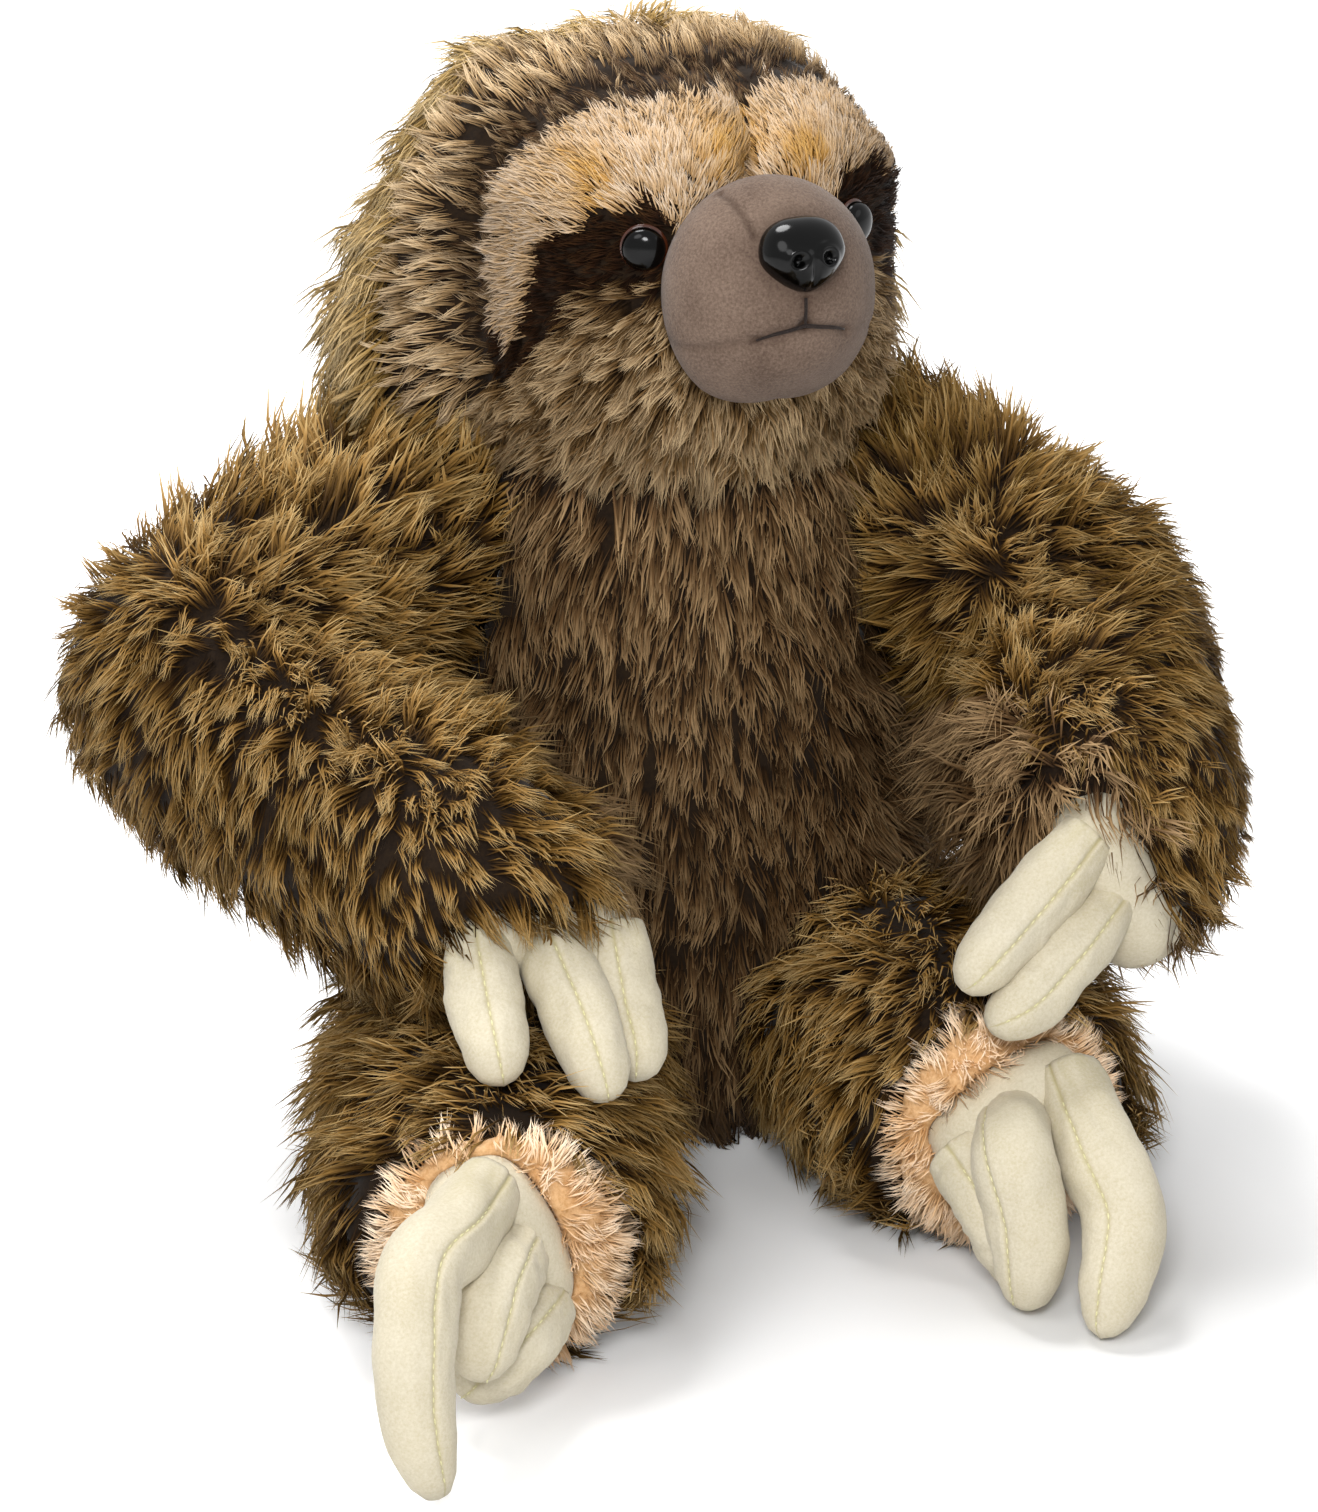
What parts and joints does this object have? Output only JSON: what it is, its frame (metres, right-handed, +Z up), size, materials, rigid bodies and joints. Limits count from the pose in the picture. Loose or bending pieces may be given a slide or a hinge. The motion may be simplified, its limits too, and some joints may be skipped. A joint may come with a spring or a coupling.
{
  "type": "plush sloth",
  "caption": "Seated stuffed sloth with a round turning head, long drooping arms and legs that lift or splay, and stuffed curved claws on turning hands and feet.",
  "frame": {"origin": "middle of the flat seat, on the surface that the toy sits on", "axes": "+Z up, -Y the way the toy faces, +X the toy's own left side"},
  "size_m": [0.2977, 0.2806, 0.2875],
  "materials": {
    "long_pile": "long shaggy pile",
    "bib_pile": "medium pile lying down",
    "crown_pile": "short pile",
    "brow_plush": "short plush",
    "patch_plush": "short plush",
    "ruff_pile": "long shaggy pile",
    "muzzle_velour": "matte velour",
    "claw_velour": "matte velour",
    "sole_plush": "short plush",
    "black_plastic": "high gloss",
    "washer_plastic": "satin",
    "thread": "matte",
    "fibrefill": "matte",
    "pellet_cloth": "matte"
  },
  "bodies": {
    "torso": {"torso_back_panel": "long_pile", "torso_bib_panel": "bib_pile", "torso_stuffing": "fibrefill", "pellet_bag": "pellet_cloth"},
    "head": {"brow_panel": "brow_plush", "right_eye_patch": "patch_plush", "left_eye_patch": "patch_plush", "ruff_panel": "ruff_pile", "crown_panel": "crown_pile", "hood_panel": "long_pile", "head_stuffing": "fibrefill", "muzzle_panel": "muzzle_velour", "chin_panel": "muzzle_velour", "muzzle_stuffing": "fibrefill", "nose": "black_plastic", "nose_washer": "washer_plastic", "mouth_stitch": "thread", "right_eye": "black_plastic", "right_eye_washer": "washer_plastic", "left_eye": "black_plastic", "left_eye_washer": "washer_plastic"},
    "right_arm": {"right_arm_sleeve": "long_pile", "right_arm_stuffing": "fibrefill"},
    "right_hand": {"right_palm": "claw_velour", "right_hand_claw_1": "claw_velour", "right_hand_claw_2": "claw_velour", "right_hand_claw_3": "claw_velour"},
    "right_leg": {"right_leg_sleeve": "long_pile", "right_leg_stuffing": "fibrefill", "right_sole_pad": "sole_plush"},
    "right_foot": {"right_foot_root": "claw_velour", "right_foot_claw_1": "claw_velour", "right_foot_claw_2": "claw_velour", "right_foot_claw_3": "claw_velour"},
    "left_arm": {"left_arm_sleeve": "long_pile", "left_arm_stuffing": "fibrefill"},
    "left_hand": {"left_palm": "claw_velour", "left_hand_claw_1": "claw_velour", "left_hand_claw_2": "claw_velour", "left_hand_claw_3": "claw_velour"},
    "left_leg": {"left_leg_sleeve": "long_pile", "left_leg_stuffing": "fibrefill", "left_sole_pad": "sole_plush"},
    "left_foot": {"left_foot_root": "claw_velour", "left_foot_claw_1": "claw_velour", "left_foot_claw_2": "claw_velour", "left_foot_claw_3": "claw_velour"}
  },
  "joints": [
    {"name": "neck_turn", "type": "hinge", "parent": "torso", "child": "head", "pos_m": [0, 0, 0.19], "axis": [0, 0, 1], "range_deg": [-25, 25]},
    {"name": "right_shoulder", "type": "hinge", "parent": "torso", "child": "right_arm", "pos_m": [-0.06, 0.008, 0.157], "axis": [-1, 0, 0], "range_deg": [0, 35]},
    {"name": "left_shoulder", "type": "hinge", "parent": "torso", "child": "left_arm", "pos_m": [0.06, 0.008, 0.157], "axis": [-1, 0, 0], "range_deg": [0, 35]},
    {"name": "right_hip", "type": "hinge", "parent": "torso", "child": "right_leg", "pos_m": [-0.049, -0.029, 0.0335], "axis": [0, 0, -1], "range_deg": [0, 25]},
    {"name": "left_hip", "type": "hinge", "parent": "torso", "child": "left_leg", "pos_m": [0.049, -0.029, 0.0335], "axis": [0, 0, 1], "range_deg": [0, 25]},
    {"name": "right_wrist", "type": "hinge", "parent": "right_arm", "child": "right_hand", "pos_m": [-0.06, -0.108, 0.097], "axis": [-0.9848, -0.1384, 0.1045], "range_deg": [0, 15]},
    {"name": "left_wrist", "type": "hinge", "parent": "left_arm", "child": "left_hand", "pos_m": [0.091, -0.111, 0.093], "axis": [-0.4203, -0.0442, 0.9063], "range_deg": [0, 15]},
    {"name": "right_ankle", "type": "hinge", "parent": "right_leg", "child": "right_foot", "pos_m": [-0.08238, -0.1629, 0.038], "axis": [-0.3946, 0.0984, 0.9135], "range_deg": [0, 12]},
    {"name": "left_ankle", "type": "hinge", "parent": "left_leg", "child": "left_foot", "pos_m": [0.05945, -0.12845, 0.038], "axis": [-0.8613, -0.0905, -0.5], "range_deg": [0, 12]}
  ]
}
